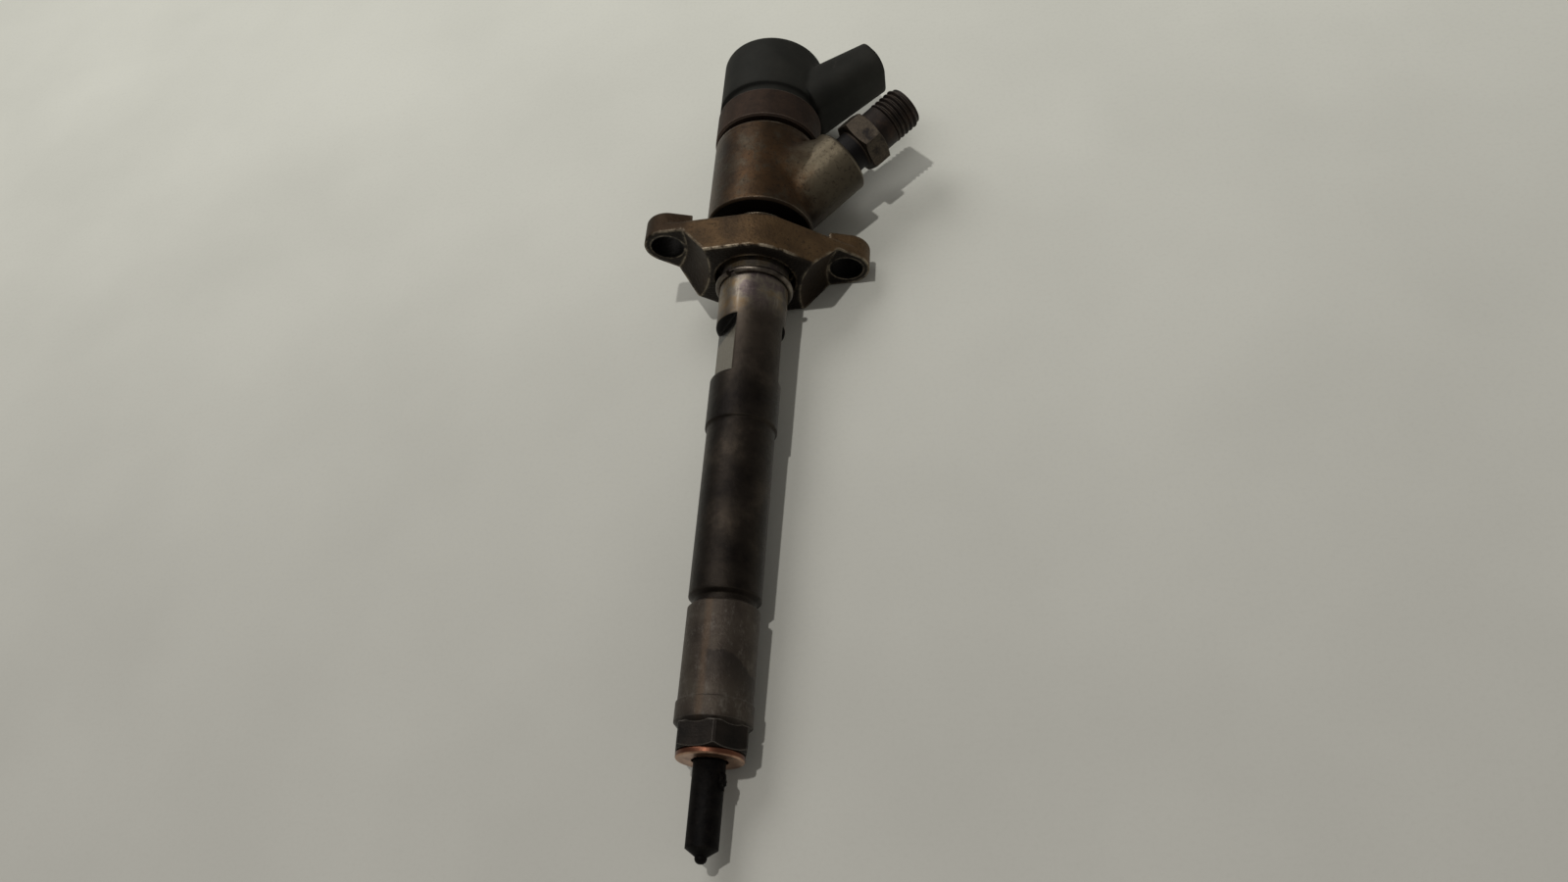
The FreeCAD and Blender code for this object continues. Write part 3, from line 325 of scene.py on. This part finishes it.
# ---- materials ------------------------------------------------------------------------------
def forged_brown(s, wide, fine, patches):
    """Brown patina of the head, paler on the branch, with painted shade on faces towards the
    nozzle.
    """
    brown = s.ramp(wide, (0.32, (0.027, 0.017, 0.010)), (0.5, (0.049, 0.028, 0.014)),
                   (0.66, (0.078, 0.041, 0.018)))
    brown = s.mix(s.product(s.step(patches, 0.52, 0.66), 0.55), brown, (0.026, 0.021, 0.015))
    branch = s.shaken(s.beside(0, 0), patches, BRANCH_COLOUR_STRAY)
    brown = s.mix(s.step(branch, *BRANCH_COLOUR), brown, (0.125, 0.103, 0.070))
    brown = s.mix(s.step(fine, 0.50, 0.74), brown, (0.022, 0.015, 0.010))
    # painted shade: faces towards the nozzle darkened, as the overhead light misses them
    return s.mix(s.step(s.facing(TOWARDS_NOZZLE), 0.5, 0.9), brown, (0.012, 0.009, 0.007))


def tarnished_shank(s, wide, streaks, wander):
    """Near black shank that turns brown-grey, then bright with gold and purple heat tints."""
    bright = s.ramp(streaks, (0.33, (0.095, 0.075, 0.062)), (0.5, (0.19, 0.155, 0.115)),
                    (0.68, (0.32, 0.27, 0.205)))
    tints = s.noise(scale=190, detail=4, rough=0.6)
    tint = s.ramp(tints, (0.38, (0.090, 0.066, 0.080)), (0.50, (0.20, 0.175, 0.14)),
                  (0.64, (0.25, 0.155, 0.065)))
    bright = s.mix(0.70, bright, tint)
    scratches = s.step(s.noise(scale=700, detail=6, rough=0.7, stretch=(1, 0.12, 1)), 0.54, 0.72)
    bright = s.mix(s.product(scratches, 0.6), bright, (0.40, 0.35, 0.28))
    dark = s.ramp(wide, (0.35, (0.008, 0.006, 0.005)), (0.55, (0.022, 0.017, 0.013)),
                  (0.72, (0.052, 0.040, 0.030)))
    middle = s.ramp(wide, (0.35, (0.030, 0.023, 0.018)), (0.65, (0.060, 0.047, 0.036)))
    shank = s.mix(s.step(wander, *SHANK_MIDDLE), dark, middle)
    return s.mix(s.step(wander, *SHANK_BRIGHT), shank, bright)


def body_steel():
    """Forged head in brown patina; shank bright and tarnished above, near black lower down."""
    s = Shader("body_steel")
    along = s.along()
    wide = s.noise(scale=90, detail=5, rough=0.6)
    fine = s.noise(scale=900, detail=8, rough=0.7)
    streaks = s.noise(scale=240, detail=6, rough=0.65, stretch=(1, 0.25, 1))
    patches = s.noise(scale=260, detail=5, rough=0.65)
    wander = s.shaken(along, wide, 14)
    head = s.step(along, *HEAD)

    # the milled flats, with a painted dark reflection on their upper end and painted shade on the
    # end face towards the nozzle
    milled = s.product(s.band(along, FLAT_BOTTOM, FLAT_TOP),
                       s.step(s.math("ABSOLUTE", s.facing(FLAT_FACING)), *FLAT_SQUARE))
    painted_flat_reflection = s.product(milled, s.step(along, *FLAT_PAINTED_REFLECTION))
    painted_step_shade = s.product(s.step(along, *FLAT_STEP_SHADE), s.step(s.facing(TOWARDS_NOZZLE), 0.4, 0.8))
    shank = s.mix(milled, tarnished_shank(s, wide, streaks, wander), (0.13, 0.110, 0.080))
    shank = s.mix(painted_flat_reflection, shank, (0.006, 0.005, 0.004))
    shank = s.mix(painted_step_shade, shank, (0.004, 0.003, 0.003))
    colour = s.mix(s.step(along, *SHANK_TO_HEAD), shank, forged_brown(s, wide, fine, patches))

    # edges painted pale, partly rubbed wear and partly painted glint, mostly on the head, and not
    # on the junction line or on the painted reflection and shade at the flats' ends
    normal, edge = s.edges(0.9 * MM)
    edge = s.product(edge, s.line(s.product(head, s.step(patches, 0.34, 0.58)), 0.05, 0.85))
    edge = s.without(edge, s.product(s.step(s.across(), *LINE_ACROSS),
                                     s.step(s.beside(0, 0), *LINE_REACH),
                                     s.step(along, *LINE_BOTTOM)))
    edge = s.without(edge, s.math("MAXIMUM", painted_flat_reflection, painted_step_shade))
    roughness = s.line(fine, 0.30, 0.26)
    roughness = s.line(s.step(wander, *SHANK_BRIGHT), roughness, -0.10)
    colour, roughness = s.rub_and_glint(colour, roughness, edge, 0.9, (0.40, 0.34, 0.26))
    roughness = s.line(milled, roughness, -0.20)
    roughness = s.line(head, roughness, 0.08)

    # a soft root where the branch leaves the head
    junction = s.product(s.step(s.beside(0, 0), *JUNCTION_REACH),
                         s.band(along, JUNCTION_BOTTOM, JUNCTION_TOP))
    normal = s.blend(junction, normal, s.rounded(BRANCH_ROOT))
    height = s.line(streaks, fine, 0.5)
    return s.done(colour, roughness, 0.75, s.bump(height, 0.3, 0.3, normal), specular=0.2)


def flange_steel():
    """As-forged flange: brown oxide skin, fine grain, edges painted paler as wear and painted
    glint, painted shade towards the nozzle, on the left ear and in the dark bolt holes.
    """
    s = Shader("flange_steel")
    wide = s.noise(scale=110, detail=5, rough=0.6)
    fine = s.noise(scale=1100, detail=8, rough=0.7)
    away = s.facing(TOWARDS_NOZZLE)
    colour = s.ramp(wide, (0.32, (0.049, 0.031, 0.017)), (0.5, (0.088, 0.053, 0.026)),
                    (0.68, (0.125, 0.077, 0.037)))
    colour = s.mix(s.step(fine, 0.5, 0.75), colour, (0.034, 0.022, 0.013))
    # painted shade: the left ear darkened
    colour = s.mix(s.step(s.across(), *LEFT_EAR_SHADE), colour, (0.040, 0.024, 0.013))
    # painted shade: faces towards the nozzle darkened, as the overhead light misses them
    colour = s.mix(s.step(away, 0.25, 0.85), colour, (0.017, 0.013, 0.010))

    # a painted glint on the boss's upper front edge, and the other edges painted pale in patches,
    # partly rubbed wear and partly painted glint
    normal, edge = s.edges(1.5 * MM)
    painted_boss_glint = s.product(s.band(away, (0.10, 0.30), (0.95, 0.75)),
                      s.step(s.facing(UPWARDS), 0.30, 0.55),
                      s.step(s.math("ABSOLUTE", s.across()), *BOSS_GLINT_HALF_WIDTH))
    rubbed = s.step(s.noise(scale=330, detail=5, rough=0.65), 0.36, 0.60)
    edge = s.product(s.math("MAXIMUM", edge, painted_boss_glint), rubbed)
    roughness = s.line(fine, 0.42, 0.25)
    colour, roughness = s.rub_and_glint(colour, roughness, edge, 1.0, (0.36, 0.30, 0.22))

    # painted shade: the bolt holes' bores darkened to near black
    for side in (-1, 1):
        hole = s.beside(side * CLAMP_HOLE[0], side * CLAMP_HOLE[1])
        colour = s.mix(s.step(hole, *HOLE_SHADE_RIM), colour, (0.006, 0.005, 0.004))
    height = s.line(s.cells(1500), fine, 0.6)
    return s.done(colour, roughness, 0.7, s.bump(height, 0.35, 0.4, normal), specular=0.2)


def nut_steel():
    """Turned nozzle nut: grey steel with a brown streak, a wavy dark stain and a dark hexagon."""
    s = Shader("nut_steel")
    along = s.along()
    across = s.across()
    wide = s.noise(scale=120, detail=5, rough=0.6)
    rings = s.noise(scale=700, detail=4, rough=0.6, stretch=(0.04, 1, 0.04))
    fine = s.noise(scale=1400, detail=8, rough=0.7)
    steel = s.ramp(wide, (0.34, (0.038, 0.029, 0.023)), (0.5, (0.054, 0.042, 0.033)),
                   (0.66, (0.071, 0.058, 0.045)))
    specks = s.step(s.noise(scale=480, detail=8, rough=0.8, stretch=(1, 0.5, 1)), 0.50, 0.66)
    steel = s.mix(s.product(specks, 0.7), steel, (0.125, 0.110, 0.094))
    streak = s.band(across, STREAK_LEFT, STREAK_RIGHT)
    steel = s.mix(s.product(streak, 0.6), steel, (0.085, 0.056, 0.036))

    # the stain's upper edge is wavy, and lower towards the sides
    wander = s.shaken(along, s.noise(scale=260, detail=3, rough=0.5), 4)
    wander = s.line(s.math("POWER", across, 2), wander, 0.06)
    stain = s.product(s.band(wander, STAIN_BOTTOM, STAIN_TOP), s.step(across, *STAIN_LEFT))
    steel = s.mix(s.product(stain, 0.8), steel, (0.024, 0.019, 0.016))

    low = s.step(along, *NUT_HEXAGON)
    hexagon = s.ramp(wide, (0.36, (0.006, 0.005, 0.004)), (0.6, (0.020, 0.015, 0.012)))
    # edges painted pale, partly wear and partly painted glint, more on the hexagon
    normal, edge = s.edges(0.4 * MM)
    edge = s.product(edge, s.line(low, 0.12, 0.55))
    colour = s.mix(edge, s.mix(low, steel, hexagon), (0.30, 0.27, 0.235))
    height = s.line(rings, fine, 0.8)
    return s.done(colour, s.line(fine, 0.34, 0.28), 0.6, s.bump(height, 0.38, 0.3, normal),
                  specular=0.25)


def rust_steel():
    """Solenoid nut: matt purple-brown oxide over turned steel."""
    s = Shader("rust_steel")
    wide = s.noise(scale=130, detail=5, rough=0.62)
    fine = s.noise(scale=1200, detail=8, rough=0.72)
    colour = s.ramp(wide, (0.34, (0.026, 0.0165, 0.012)), (0.5, (0.042, 0.026, 0.018)),
                    (0.68, (0.060, 0.036, 0.024)))
    colour = s.mix(s.step(fine, 0.5, 0.75), colour, (0.024, 0.018, 0.016))
    normal, edge = s.edges(0.5 * MM)
    colour = s.mix(s.product(edge, 0.5), colour, (0.34, 0.28, 0.23))
    return s.done(colour, s.line(fine, 0.52, 0.25), 0.5, s.bump(fine, 0.3, 0.3, normal),
                  specular=0.2)


def stub_steel():
    """Inlet stub: dark rusty threads, black neck, worn grey hexagon faces."""
    s = Shader("stub_steel")
    reach = s.along_branch()
    wide = s.noise(scale=300, detail=4, rough=0.6)
    fine = s.noise(scale=1500, detail=8, rough=0.72)
    rust = s.ramp(wide, (0.36, (0.011, 0.008, 0.007)), (0.52, (0.019, 0.013, 0.010)),
                  (0.66, (0.034, 0.021, 0.015)))
    grey = s.ramp(fine, (0.35, (0.032, 0.025, 0.018)), (0.65, (0.080, 0.062, 0.044)))
    hexagon = s.band(reach, STUB_HEXAGON_START, STUB_HEXAGON_END)
    colour = s.mix(s.step(reach, *STUB_NECK), rust, (0.006, 0.005, 0.005))
    colour = s.mix(s.product(hexagon, s.step(wide, 0.30, 0.55)), colour, grey)
    normal, edge = s.edges(0.3 * MM)
    colour = s.mix(s.product(edge, 0.35), colour, (0.30, 0.25, 0.20))
    return s.done(colour, s.line(fine, 0.33, 0.3), 0.75, s.bump(fine, 0.35, 0.3, normal))


def nozzle_steel():
    """Nozzle shank: black, oily, with soot crust that thickens towards the washer."""
    s = Shader("nozzle_steel")
    fine = s.noise(scale=1700, detail=8, rough=0.75)
    crust = s.noise(scale=520, detail=6, rough=0.7)
    colour = s.ramp(crust, (0.38, (0.0022, 0.0018, 0.0018)), (0.6, (0.0055, 0.0045, 0.004)),
                    (0.78, (0.020, 0.015, 0.012)))
    thickness = s.line(s.step(s.along(), *NOZZLE_ROOT), 0.3, 0.7)
    height = s.product(s.line(fine, crust, 0.4), thickness)
    normal, edge = s.edges(0.3 * MM)
    colour = s.mix(s.product(edge, 0.2), colour, (0.040, 0.032, 0.026))
    return s.done(colour, s.line(fine, 0.30, 0.35), 0.0, s.bump(height, 0.8, 0.6, normal),
                  specular=0.05)


def copper():
    """Copper washer: pale rubbed lower face, darkened in patches, dark red rim."""
    s = Shader("copper")
    wide = s.noise(scale=260, detail=5, rough=0.6)
    fine = s.noise(scale=1500, detail=6, rough=0.7)
    colour = s.ramp(wide, (0.34, (0.22, 0.110, 0.070)), (0.5, (0.44, 0.27, 0.18)),
                    (0.68, (0.62, 0.40, 0.28)))
    colour = s.mix(s.step(fine, 0.60, 0.78), colour, (0.16, 0.075, 0.05))
    colour = s.mix(s.step(s.facing(TOWARDS_NOZZLE), 0.6, 0.1), colour, (0.14, 0.056, 0.033))
    return s.done(colour, s.line(fine, 0.24, 0.22), 0.95,
                  s.bump(fine, 0.2, 0.2, s.rounded(0.3 * MM)))


def black_plastic():
    """Moulded glass-filled plastic: dark green-grey, matt, with dust and paler scuffs."""
    s = Shader("black_plastic")
    wide = s.noise(scale=75, detail=5, rough=0.6)
    fine = s.noise(scale=1800, detail=6, rough=0.7)
    colour = s.ramp(wide, (0.34, (0.0115, 0.0115, 0.0094)), (0.5, (0.0165, 0.0163, 0.0132)),
                    (0.68, (0.0235, 0.0225, 0.0185)))
    scuffs = s.step(s.noise(scale=420, detail=7, rough=0.7, stretch=(1, 0.5, 1)), 0.60, 0.74)
    colour = s.mix(s.product(scuffs, 0.35), colour, (0.046, 0.037, 0.032))
    return s.done(colour, s.line(fine, 0.62, 0.15), 0.0,
                  s.bump(fine, 0.25, 0.2, s.rounded(2.2 * MM)), specular=0.2)


def bright_steel():
    """Polished or ground steel for springs and inner pieces."""
    s = Shader("bright_steel")
    fine = s.noise(scale=1300, detail=7, rough=0.7)
    wide = s.noise(scale=300, detail=4, rough=0.6)
    colour = s.ramp(wide, (0.34, (0.25, 0.22, 0.19)), (0.55, (0.52, 0.49, 0.45)),
                    (0.7, (0.66, 0.63, 0.58)))
    return s.done(colour, s.line(fine, 0.18, 0.25), 1.0, s.bump(fine, 0.12, 0.2))


def ring_steel():
    """Snap ring: oiled spring wire, dull with bright rubbed spots."""
    s = Shader("ring_steel")
    fine = s.noise(scale=1300, detail=7, rough=0.7)
    wide = s.noise(scale=260, detail=4, rough=0.6)
    colour = s.ramp(wide, (0.36, (0.045, 0.037, 0.030)), (0.55, (0.12, 0.10, 0.083)),
                    (0.7, (0.24, 0.21, 0.175)))
    return s.done(colour, s.line(fine, 0.20, 0.25), 0.9, s.bump(fine, 0.12, 0.2))


def dark_iron():
    """Soft-magnetic iron of the core and armature."""
    s = Shader("dark_iron")
    fine = s.noise(scale=1500, detail=7, rough=0.7)
    colour = s.ramp(fine, (0.35, (0.10, 0.10, 0.105)), (0.65, (0.22, 0.22, 0.225)))
    return s.done(colour, s.line(fine, 0.35, 0.2), 0.8, s.bump(fine, 0.2, 0.2))


def rubber():
    """Black seal rubber."""
    s = Shader("seal_rubber")
    fine = s.noise(scale=1500, detail=6, rough=0.7)
    colour = s.ramp(fine, (0.35, (0.012, 0.012, 0.012)), (0.7, (0.035, 0.034, 0.032)))
    return s.done(colour, s.line(fine, 0.5, 0.2), 0.0, s.bump(fine, 0.2, 0.2))


def pale_plastic():
    """Natural nylon of the coil bobbin."""
    s = Shader("pale_plastic")
    fine = s.noise(scale=900, detail=6, rough=0.6)
    colour = s.ramp(fine, (0.35, (0.50, 0.45, 0.34)), (0.7, (0.66, 0.61, 0.48)))
    return s.done(colour, s.line(fine, 0.4, 0.1), 0.0, s.bump(fine, 0.1, 0.2))


# Along the surface from the flange, in millimetres: where the painted light falloff leaves the
# paper dimmest, and brightest.
PAPER_PAINTED_FALLOFF = (-150, 190)


def paper():
    """The pale surface: white paper with a faint tooth, and a painted light falloff, brighter
    beyond the head.
    """
    s = Shader("paper")
    wide = s.noise(scale=14, detail=4, rough=0.5)
    fine = s.noise(scale=900, detail=5, rough=0.6)
    near = s.ramp(wide, (0.35, (0.560, 0.552, 0.505)), (0.65, (0.600, 0.592, 0.542)))
    far = s.ramp(wide, (0.35, (0.785, 0.790, 0.715)), (0.65, (0.845, 0.850, 0.770)))
    # painted light falloff: the paper's colour dims towards the nozzle end
    colour = s.mix(s.step(s.along(), *PAPER_PAINTED_FALLOFF), near, far)
    colour = s.mix(s.product(s.step(fine, 0.45, 0.70), 0.06), colour, (0.40, 0.39, 0.35))
    return s.done(colour, 0.85, 0.0, s.bump(fine, 0.12, 0.3))


def dress(materials, groups):
    """Gives each CAD node the material of its group."""
    for key, nodes in groups.items():
        for name in nodes:
            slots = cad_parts[name].data.materials
            slots.clear()
            slots.append(materials[key])


# ---- added pieces ---------------------------------------------------------------------------
# The soot lump: half sizes in millimetres, and its middle across, along and up.
SOOT_HALF_SIZE = (0.75, 1.9, 1.5)
SOOT_MIDDLE = Vector((NOZZLE_RADIUS * 0.94, -4.2 * MM, NOZZLE_RADIUS * 0.12))
SOOT_SUBDIVISIONS = 5
# Its bumps: how high, how dense, and the noise's fall per octave, step per octave and octaves.
SOOT_SWELL = 0.35
SOOT_DENSITY = 2.3
SOOT_FRACTAL = (0.9, 2.1, 5)


def soot_lump(material):
    """Baked soot on the nozzle root, beside the washer, on the inlet side."""
    mesh = bpy.data.meshes.new("soot_lump")
    shape = bmesh.new()
    bmesh.ops.create_icosphere(shape, subdivisions=SOOT_SUBDIVISIONS, radius=1.0)
    for vertex in shape.verts:
        swell = 1 + SOOT_SWELL * noise.fractal(vertex.co * SOOT_DENSITY, *SOOT_FRACTAL)
        stretched = Vector([size * place for size, place in zip(SOOT_HALF_SIZE, vertex.co)])
        vertex.co = stretched * swell * MM + SOOT_MIDDLE
    shape.to_mesh(mesh)
    shape.free()
    mesh.polygons.foreach_set("use_smooth", [True] * len(mesh.polygons))
    mesh.materials.append(material)
    lump = bpy.data.objects.new("soot_lump", mesh)
    scene.collection.objects.link(lump)
    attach(lump, "injector")


# ---- surface and light ----------------------------------------------------------------------
SURFACE_HALF_SIZE = 6.0
SURFACE_GAP = 0.2 * MM


def add_surface(material):
    """A flat sheet just under the flange rim and the nozzle nut, the two places it rests on."""
    rim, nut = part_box("clamp_flange")[0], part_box("nozzle_nut")[0]
    lean = math.atan2(nut[2] - rim[2], rim[1] - nut[1])
    size = SURFACE_HALF_SIZE
    mesh = bpy.data.meshes.new("floor")
    corners = [(-size, -size, 0), (size, -size, 0), (size, size, 0), (-size, size, 0)]
    mesh.from_pydata(corners, [], [(0, 1, 2, 3)])
    mesh.materials.append(material)
    floor = bpy.data.objects.new("floor", mesh)
    scene.collection.objects.link(floor)
    floor.location = (0, rim[1], rim[2] - SURFACE_GAP)
    floor.rotation_euler = (-lean, 0, 0)


LIGHTS_AIM = Vector((0.0, 0.11, 0.0))
# Place, disc size in metres, power in watts and colour: a small source overhead, a soft one behind.
LIGHTS = {
    "key": ((-0.03, 0.13, 1.15), 0.035, 3.5, (1.0, 0.985, 0.95)),
    "fill": ((-0.45, 0.75, 0.85), 0.7, 3.6, (1.0, 0.99, 0.97)),
}
WORLD_COLOUR = (1.0, 0.97, 0.92, 1)
WORLD_STRENGTH = 0.215


def add_lights():
    for name, (place, size, power, colour) in LIGHTS.items():
        data = bpy.data.lights.new(name, "AREA")
        data.shape = "DISK"
        data.size = size
        data.energy = power
        data.color = colour
        lamp = bpy.data.objects.new(name, data)
        lamp.location = place
        lamp.rotation_euler = (LIGHTS_AIM - Vector(place)).to_track_quat("-Z", "Y").to_euler()
        scene.collection.objects.link(lamp)
    world = bpy.data.worlds.new("world")
    world.use_nodes = True
    background = world.node_tree.nodes["Background"]
    background.inputs["Color"].default_value = WORLD_COLOUR
    background.inputs["Strength"].default_value = WORLD_STRENGTH
    scene.world = world


# ---- scene ----------------------------------------------------------------------------------
MATERIALS = {
    "body": body_steel(), "flange": flange_steel(), "nut": nut_steel(), "rust": rust_steel(),
    "stub": stub_steel(), "nozzle": nozzle_steel(), "copper": copper(),
    "plastic": black_plastic(), "bright": bright_steel(), "ring": ring_steel(),
    "iron": dark_iron(), "rubber": rubber(), "pale": pale_plastic(),
}
GROUPS = {
    "body": ["injector_body"], "flange": ["clamp_flange"], "nut": ["nozzle_nut"],
    "rust": ["solenoid_nut"], "stub": ["inlet_connector"], "nozzle": ["nozzle_body"],
    "plastic": ["solenoid_cap"], "ring": ["snap_ring"],
    "copper": ["copper_washer", "valve_seal_ring", "coil_winding", "inlet_seal"],
    "iron": ["armature_plate", "magnet_core", "solenoid_sleeve"],
    "rubber": ["solenoid_o_ring"], "pale": ["coil_bobbin"],
}
dressed = {name for nodes in GROUPS.values() for name in nodes}
GROUPS["bright"] = [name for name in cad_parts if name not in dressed]

add_camera()
dress(MATERIALS, GROUPS)
soot_lump(MATERIALS["nozzle"])
add_surface(paper())
add_lights()
